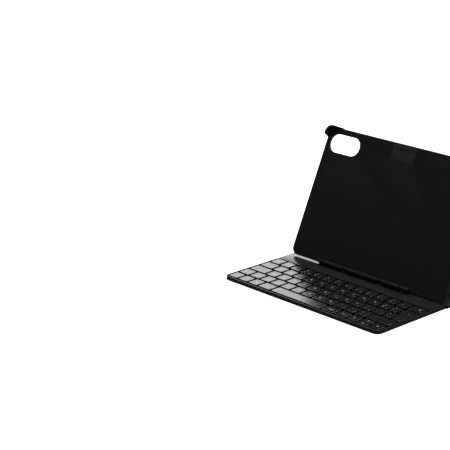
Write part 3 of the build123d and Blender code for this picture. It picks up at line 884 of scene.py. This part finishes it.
def bumperProfile():
    # wall outside the panel's edge with a front lip over the tablet, its corners eased
    inner = bumper["gap"]
    outer = bumper["gap"] + bumper["wall"]
    back = -panel["thick"]
    front = bumper["reach"]
    lip = -bumper["hook"]
    under = front - bumper["lipDepth"]
    ease = bumper["ease"]
    small = bumper["innerEase"]
    nick = 0.11  # the middle point of an eased corner
    return [(inner + small, back), (outer - ease, back), (outer - nick, back + nick), (outer, back + ease),
            (outer, front - ease), (outer - nick, front - nick), (outer - ease, front), (lip + small, front),
            (lip, front - small), (lip, under + small), (lip + small, under), (inner - 0.1, under),
            (inner, under - 0.1), (inner, back + small)]


def bumperStations():
    side = -panel["halfWidth"]
    top = panel["high"]
    radius = panel["corner"]
    spots = []
    for step in range(4):
        spots.append((side, top - radius - bumper["sideRun"] * (1 - step / 4), Vector((-1, 0))))
    for step in range(17):
        angle = math.pi - math.pi / 2 * step / 16
        outward = Vector((math.cos(angle), math.sin(angle)))
        spots.append((side + radius + radius * outward.x, top - radius + radius * outward.y, outward))
    for step in range(1, 7):
        spots.append((side + radius + bumper["topRun"] * step / 6, top, Vector((0, 1))))
    return spots


def slantCut(piece, place, outward):
    # takes off everything beyond a plane, closes the end and eases its edge
    sheet = bmesh.new()
    sheet.from_mesh(piece.data)
    everything = sheet.verts[:] + sheet.edges[:] + sheet.faces[:]
    bmesh.ops.bisect_plane(sheet, geom=everything, plane_co=place, plane_no=outward, clear_outer=True)
    rim = [edge for edge in sheet.edges if edge.is_boundary]
    filled = bmesh.ops.holes_fill(sheet, edges=rim)
    ends = [edge for face in filled["faces"] for edge in face.edges]
    bmesh.ops.bevel(sheet, geom=ends, offset=0.16 * mm, segments=2, affect="EDGES", clamp_overlap=True)
    bmesh.ops.recalc_face_normals(sheet, faces=sheet.faces)
    sheet.to_mesh(piece.data)
    sheet.free()
    for face in piece.data.polygons:
        face.use_smooth = True
    piece.data.set_sharp_from_angle(angle=math.radians(50))


def makeBumper():
    verts, faces = [], []
    profile = bumperProfile()
    spots = bumperStations()
    for x, up, outward in spots:
        verts += [onPanel(x + outward.x * a, up + outward.y * a, out) for a, out in profile]
    size = len(profile)
    for row in range(len(spots) - 1):
        bridge(faces, row * size, (row + 1) * size, size)
    faces.append(tuple(range(size)))
    faces.append(tuple(range(len(verts) - size, len(verts))))
    piece = meshObject("cornerBumper", verts, faces, bumperPlastic)
    across = Vector((1, 0, 0))
    topEnd = onPanel(-panel["halfWidth"] + bumper["topLength"], 0, 0)
    slantCut(piece, topEnd, (across + bumper["topLean"] * panelOut).normalized())
    sideEnd = onPanel(0, panel["high"] - bumper["sideLength"], 0)
    slantCut(piece, sideEnd, (bumper["sideLean"] * panelOut - panelUp).normalized())
    return piece


cornerBumper = makeBumper()
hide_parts("corner_bumper")
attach(cornerBumper, "panel")
print("panel done")


# Back skin: one sheet over the panel's back, through the crease and down the flap

crease = {"up": 62.0, "radius": 2.0, "cover": 0.8, "sideInset": 1.1, "flapHalf": 128.4, "flapEnd": 62.9}
bendTake = 0.5  # what the rounded bend takes off the skin's length
foldAngle = flapTurn - math.atan2(-panelUp.z, -panelUp.y)
backNormalAngle = math.atan2(-panelOut.z, -panelOut.y)
arcLength = crease["radius"] * foldAngle
tangentLength = crease["radius"] * math.tan(foldAngle / 2)
bisectorAngle = backNormalAngle + foldAngle / 2
bisector = Vector((0, math.cos(bisectorAngle), math.sin(bisectorAngle)))
creaseApex = creasePoint + bisector * crease["cover"] * mm / math.cos(foldAngle / 2)
creaseCentre = creaseApex + bisector * crease["radius"] * mm / math.cos(foldAngle / 2)


def overCrease(x, s, z):
    # s runs up the panel's back from the crease, and below zero down the flap; z is height over the skin's face
    side = Vector((x * mm, 0, 0))
    if s >= arcLength / 2:
        return side + creaseApex + (tangentLength + s - arcLength / 2) * mm * panelUp - z * mm * panelOut
    if s <= -arcLength / 2:
        return side + creaseApex + (tangentLength - s - arcLength / 2) * mm * flapAlong + z * mm * flapOut
    angle = backNormalAngle + foldAngle * (arcLength / 2 - s) / arcLength
    normal = Vector((0, math.cos(angle), math.sin(angle)))
    return side + creaseCentre - (crease["radius"] - z) * mm * normal


def cutAcross(piece, cuts):
    # edges across a flat sheet, so that it can bend
    sheet = bmesh.new()
    sheet.from_mesh(piece.data)
    for level in cuts:
        everything = sheet.verts[:] + sheet.edges[:] + sheet.faces[:]
        bmesh.ops.bisect_plane(sheet, geom=everything, plane_co=(0, level, 0), plane_no=(0, 1, 0))
    sheet.to_mesh(piece.data)
    sheet.free()


def bendSheet(piece, place):
    for vertex in piece.data.vertices:
        vertex.co = place(vertex.co.x, vertex.co.y, vertex.co.z)


def flat(x, y, z):
    return Vector((x, y, z))


topS = panel["high"] - crease["up"] - crease["sideInset"] - bendTake
sideX = panel["halfWidth"] - crease["sideInset"]
backOutline = [(-sideX, 2.4, 1.0), (-crease["flapHalf"], 1.0, 1.0), (-crease["flapHalf"], -crease["flapEnd"], 1.2),
               (crease["flapHalf"], -crease["flapEnd"], 1.2), (crease["flapHalf"], 1.0, 1.0), (sideX, 2.4, 1.0),
               (sideX, topS, 9.0), (-sideX, topS, 9.0)]
cameraEdge = cameraOutline(camera["ring"] + camera["clear"])
cameraHole = [(x, up - crease["up"] - bendTake, radius) for x, up, radius in cameraEdge]
backSkin = softPlate("backSkin", backOutline, [cameraHole], -panel["skin"], 0.0, 0.2, coverSkin, flat, segments=12)
cutAcross(backSkin, [arcLength * (0.5 - step / 10) for step in range(11)] + [4.0, -4.0, 9.0, -9.0])
bendSheet(backSkin, overCrease)
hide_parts("panel_back_cover", "flap_cover")
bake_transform(backSkin)
print("back skin done")


# Flap board and spine strip

flapBoard = {"halfWidth": 129.0, "start": 0.95, "end": 63.75, "low": -0.8, "high": 0.32, "soft": 0.4}
spineStrip = {"halfWidth": 129.0, "start": 0.95, "end": 12.4, "low": -0.8, "high": 0.8, "soft": 0.35}


def onFlap(x, along, out):
    return Vector((x * mm, 0, 0)) + creasePoint + along * mm * flapAlong + out * mm * flapOut


def onSpine(x, along, out):
    return Vector((x * mm, 0, 0)) + spinePoint + along * mm * spineAlong + out * mm * spineOut


flapPlate = softPlate("flapBoard", rectCorners(-flapBoard["halfWidth"], flapBoard["halfWidth"], flapBoard["start"],
                                               flapBoard["end"], (0.6, 0.6, 1.2, 1.2)),
                      [], flapBoard["low"], flapBoard["high"], flapBoard["soft"], coverSkin, onFlap)
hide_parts("flap_board")
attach(flapPlate, "flap")
spinePlate = softPlate("spineStrip", rectCorners(-spineStrip["halfWidth"], spineStrip["halfWidth"],
                                                 spineStrip["start"], spineStrip["end"], (0.6, 0.6, 1.2, 1.2)),
                       [], spineStrip["low"], spineStrip["high"], spineStrip["soft"], coverSkin, onSpine)
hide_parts("spine_cover")
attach(spinePlate, "spine")


# Under skin: one sheet below the base that turns up over the rear fold onto the spine

under = {"thick": 0.55, "cover": 1.35, "radius": 2.0, "spineHalf": 128.4, "spineEnd": 13.2}
spineLift = under["cover"] * math.cos(spineTurn)
footDrop = (spinePoint.z / mm - spineLift) / math.sin(spineTurn)
turnY = spinePoint.y / mm + under["cover"] * math.sin(spineTurn) - footDrop * math.cos(spineTurn)
underArc = under["radius"] * spineTurn
underTangent = under["radius"] * math.tan(spineTurn / 2)
flatEnd = turnY - underTangent - frontY


def underBase(x, s, z):
    # s runs rearwards along the table, then up the spine; z is height above the skin's outer face
    side = Vector((x * mm, 0, 0))
    if s <= flatEnd:
        return onBase(x, s, z)
    centre = onBase(0, flatEnd, under["radius"])
    if s <= flatEnd + underArc:
        angle = (s - flatEnd) / under["radius"]
        reach = (under["radius"] - z) * mm
        return side + centre + reach * Vector((0, math.sin(angle), -math.cos(angle)))
    start = centre + under["radius"] * mm * spineOut
    return side + start + (s - flatEnd - underArc) * mm * spineAlong - z * mm * spineOut


tip = flatEnd + underArc + under["spineEnd"]
wide = rear["halfWidth"] - 0.25
slabSide = slab["halfWidth"] - 0.3
underOutline = [(-slabSide, 0.3, slab["corner"] - 0.3), (slabSide, 0.3, slab["corner"] - 0.3),
                (slabSide, rear["front"], 0.4), (wide, rear["front"], 0.4), (wide, rear["end"] - 1.2, 3.0),
                (under["spineHalf"], rear["end"] - 0.6, 0.5), (under["spineHalf"], tip, 1.2),
                (-under["spineHalf"], tip, 1.2), (-under["spineHalf"], rear["end"] - 0.6, 0.5),
                (-wide, rear["end"] - 1.2, 3.0), (-wide, rear["front"], 0.4), (-slabSide, rear["front"], 0.4)]
underSkin = softPlate("underSkin", underOutline, [], 0.0, under["thick"], 0.18, coverSkin, flat)
cutAcross(underSkin, [flatEnd + underArc * step / 8 for step in range(9)] + [flatEnd - 4.0, tip - 6.0])
bendSheet(underSkin, underBase)
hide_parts("bottom_cover")
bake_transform(underSkin)
print("folds done")


# Floor, light and camera

def aimed(name, place, target, width, height, power):
    data = bpy.data.lights.new(name, "AREA")
    data.shape = "RECTANGLE"
    data.size = width
    data.size_y = height
    data.energy = power
    lamp = bpy.data.objects.new(name, data)
    lamp.location = place
    lamp.rotation_euler = (Vector(target) - Vector(place)).to_track_quat("-Z", "Y").to_euler()
    lamp.visible_camera = False
    bpy.context.scene.collection.objects.link(lamp)


floorLook = {"half": 8, "drop": 0.2, "shade": 0.3, "seenShade": 0.7, "glow": 0.92}
half = floorLook["half"]
floorMesh = bpy.data.meshes.new("floor")
floorMesh.from_pydata([(-half, -half, 0), (half, -half, 0), (half, half, 0), (-half, half, 0)], [], [(0, 1, 2, 3)])
floorPaper = bpy.data.materials.new("floorPaper")
floorPaper.use_nodes = True
floorNodes = floorPaper.node_tree.nodes
floorLinks = floorPaper.node_tree.links
paper = floorNodes["Principled BSDF"]  # what the case itself sees of the floor
bright = floorNodes.new("ShaderNodeBsdfPrincipled")  # what the camera sees of it
for shader, shade in ((paper, floorLook["shade"]), (bright, floorLook["seenShade"])):
    shader.inputs["Base Color"].default_value = (shade, shade, shade, 1)
    shader.inputs["Roughness"].default_value = 1.0
    shader.inputs["Specular IOR Level"].default_value = 0.0
bright.inputs["Emission Color"].default_value = (1, 1, 1, 1)
bright.inputs["Emission Strength"].default_value = floorLook["glow"]
pathKind = floorNodes.new("ShaderNodeLightPath")
floorChoice = floorNodes.new("ShaderNodeMixShader")
floorLinks.new(pathKind.outputs["Is Camera Ray"], floorChoice.inputs[0])
floorLinks.new(paper.outputs[0], floorChoice.inputs[1])
floorLinks.new(bright.outputs[0], floorChoice.inputs[2])
floorLinks.new(floorChoice.outputs[0], floorNodes["Material Output"].inputs["Surface"])
floorMesh.materials.append(floorPaper)
floor = bpy.data.objects.new("floor", floorMesh)
floor.location = (0, 0, -floorLook["drop"] * mm)
bpy.context.scene.collection.objects.link(floor)

lighting = {"room": 0.11, "background": 1.15, "top": 120.0, "backLeft": 47.0}
world = bpy.data.worlds.new("studio")
bpy.context.scene.world = world
world.use_nodes = True
worldNodes = world.node_tree.nodes
worldLinks = world.node_tree.links
background = worldNodes["Background"]
rays = worldNodes.new("ShaderNodeLightPath")
seen = worldNodes.new("ShaderNodeBackground")
seen.inputs["Color"].default_value = (1, 1, 1, 1)
seen.inputs["Strength"].default_value = lighting["background"]
background.inputs["Color"].default_value = (1, 1, 1, 1)
background.inputs["Strength"].default_value = lighting["room"]
chooser = worldNodes.new("ShaderNodeMixShader")
worldLinks.new(rays.outputs["Is Camera Ray"], chooser.inputs[0])
worldLinks.new(background.outputs[0], chooser.inputs[1])
worldLinks.new(seen.outputs[0], chooser.inputs[2])
worldLinks.new(chooser.outputs[0], worldNodes["World Output"].inputs["Surface"])

aimed("topBox", (0.2, 0.5, 2.4), (0, 0, 0), 3.2, 3.2, lighting["top"])
aimed("backLeftBox", (-2.6, 2.5, 1.15), (0, 0, 0.05), 3.4, 1.7, lighting["backLeft"])

shot = {"place": (1.2224, -1.35495, 0.6818), "azimuth": 46.92, "elevation": 18.21, "lens": 123.03, "sensor": 36.0}
cameraData = bpy.data.cameras.new("shot")
cameraData.lens = shot["lens"]
cameraData.sensor_width = shot["sensor"]
cameraData.clip_end = 50
cameraObject = bpy.data.objects.new("shot", cameraData)
cameraObject.location = shot["place"]
cameraObject.rotation_euler = (math.radians(90 - shot["elevation"]), 0, math.radians(shot["azimuth"]))
bpy.context.scene.collection.objects.link(cameraObject)
bpy.context.scene.camera = cameraObject
bpy.context.scene.view_settings.view_transform = "Standard"
print("light and camera done")
